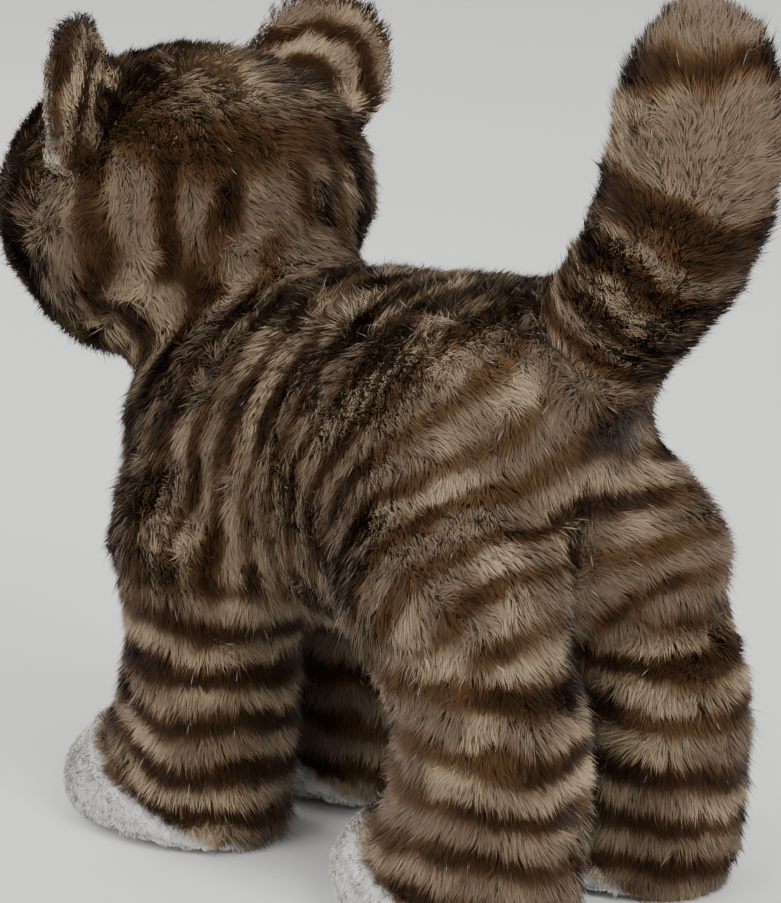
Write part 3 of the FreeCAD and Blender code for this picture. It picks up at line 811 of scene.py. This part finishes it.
# The belly opening is closed by seven bars of ladder stitch across one long thread.
FIRST_BAR = -0.0112
BAR_STEP = 0.004
BAR_HALF = 0.003
BELOW_BELLY = 0.05
bars = []
for step in range(7):
    line = np.stack([np.linspace(-BAR_HALF, BAR_HALF, 7),
                     np.full(7, FIRST_BAR + BAR_STEP * step), np.full(7, BELOW_BELLY)], axis=1)
    bars.append(on_skin(line, (0, 0, 1), 0.0006))
line = np.stack([np.zeros(20), np.linspace(-0.013, 0.017, 20), np.full(20, BELOW_BELLY)],
                axis=1)
bars.append(on_skin(line, (0, 0, 1), 0.0003))
thread_piece("belly_stitches", bars, 0.0005, PALE, "torso", "closing_stitches")

# An eye's colour is set by the distance from the line that it looks along, as a share of its
# radius: black pupil, amber ring, dark rim.
EYE_LOOK = np.array([0.3256, -0.9455, 0.0])
PUPIL = (0.004, 0.003, 0.003, 1)
AMBER = (0.40, 0.17, 0.03, 1)
AMBER_DEEP = (0.17, 0.065, 0.012, 1)
RIM = (0.01, 0.007, 0.005, 1)
for side, word in ((1, "left"), (-1, "right")):
    eye = plain_material("eye_" + word, "2a1606", 0.08, 1.0)
    nodes, links = eye.node_tree.nodes, eye.node_tree.links
    middle = EYE_AT * (side, 1, 1)
    look = EYE_LOOK * (side, 1, 1)
    shift = nodes.new("ShaderNodeVectorMath")
    shift.operation = "SUBTRACT"
    shift.inputs[1].default_value = middle
    links.new(object_coordinates(eye), shift.inputs[0])
    cross = nodes.new("ShaderNodeVectorMath")
    cross.operation = "CROSS_PRODUCT"
    cross.inputs[1].default_value = look
    links.new(shift.outputs[0], cross.inputs[0])
    reach = nodes.new("ShaderNodeVectorMath")
    reach.operation = "LENGTH"
    links.new(cross.outputs[0], reach.inputs[0])
    share = nodes.new("ShaderNodeMath")
    share.operation = "DIVIDE"
    share.inputs[1].default_value = EYE_RADIUS
    links.new(reach.outputs["Value"], share.inputs[0])
    ramp = nodes.new("ShaderNodeValToRGB")
    links.new(share.outputs["Value"], ramp.inputs["Fac"])
    stops = ramp.color_ramp.elements
    stops[0].position = 0.0
    stops[0].color = PUPIL
    stops[1].position = 1.0
    stops[1].color = RIM
    for place, tint in ((0.50, PUPIL), (0.54, AMBER), (0.86, AMBER_DEEP), (0.90, RIM)):
        stop = stops.new(place)
        stop.color = tint
    links.new(ramp.outputs["Color"], nodes["Principled BSDF"].inputs["Base Color"])
    for node, material in (("eye_" + word, eye), ("eye_washer_" + word, NYLON)):
        frame["nodes"][node].data.materials.clear()
        frame["nodes"][node].data.materials.append(material)

# ---------------------------------------------------------------- floor, light and camera
# A sheet of matt white paper under a white sky, with a large softbox behind and above the
# toy, one at its left side and one in front.

PAPER_HALF = 6.0
floor = mesh_from("floor", PAPER_HALF * np.array([[-1, -1, 0], [1, -1, 0], [1, 1, 0],
                                                  [-1, 1, 0]]), np.array([[0, 1, 2, 3]]))
PAPER = plain_material("paper_floor", "f4f4f2", 0.9)
floor.data.materials.append(PAPER)

world = bpy.data.worlds.new("studio")
bpy.context.scene.world = world
world.use_nodes = True
world.node_tree.nodes["Background"].inputs["Color"].default_value = (1, 1, 1, 1)
world.node_tree.nodes["Background"].inputs["Strength"].default_value = 0.85


def lamp(name, place, aim, power, width):
    """A square softbox."""
    data = bpy.data.lights.new(name, "AREA")
    data.energy = power
    data.size = width
    obj = bpy.data.objects.new(name, data)
    bpy.context.scene.collection.objects.link(obj)
    obj.location = place
    obj.rotation_euler = (Vector(aim) - Vector(place)).to_track_quat("-Z", "Y").to_euler()


TOY_MIDDLE = (0, 0, 0.1)
lamp("key", (0.35, 1.5, 1.3), TOY_MIDDLE, 24, 0.8)
lamp("fill", (1.5, 0.1, 1.0), TOY_MIDDLE, 9, 1.0)
lamp("front", (0.3, -1.6, 1.0), TOY_MIDDLE, 12, 0.9)

camera = bpy.data.cameras.new("camera")
camera.sensor_fit = "VERTICAL"
camera.sensor_height = 36
camera.lens = 159.5
camera.clip_start = 0.05
camera.clip_end = 20
view = bpy.data.objects.new("camera", camera)
bpy.context.scene.collection.objects.link(view)
view.location = (0.678, 0.715, 0.326)
aim = Vector((0.0046, 0.0086, 0.1053))
view.rotation_euler = (aim - view.location).to_track_quat("-Z", "Y").to_euler()
bpy.context.scene.camera = view
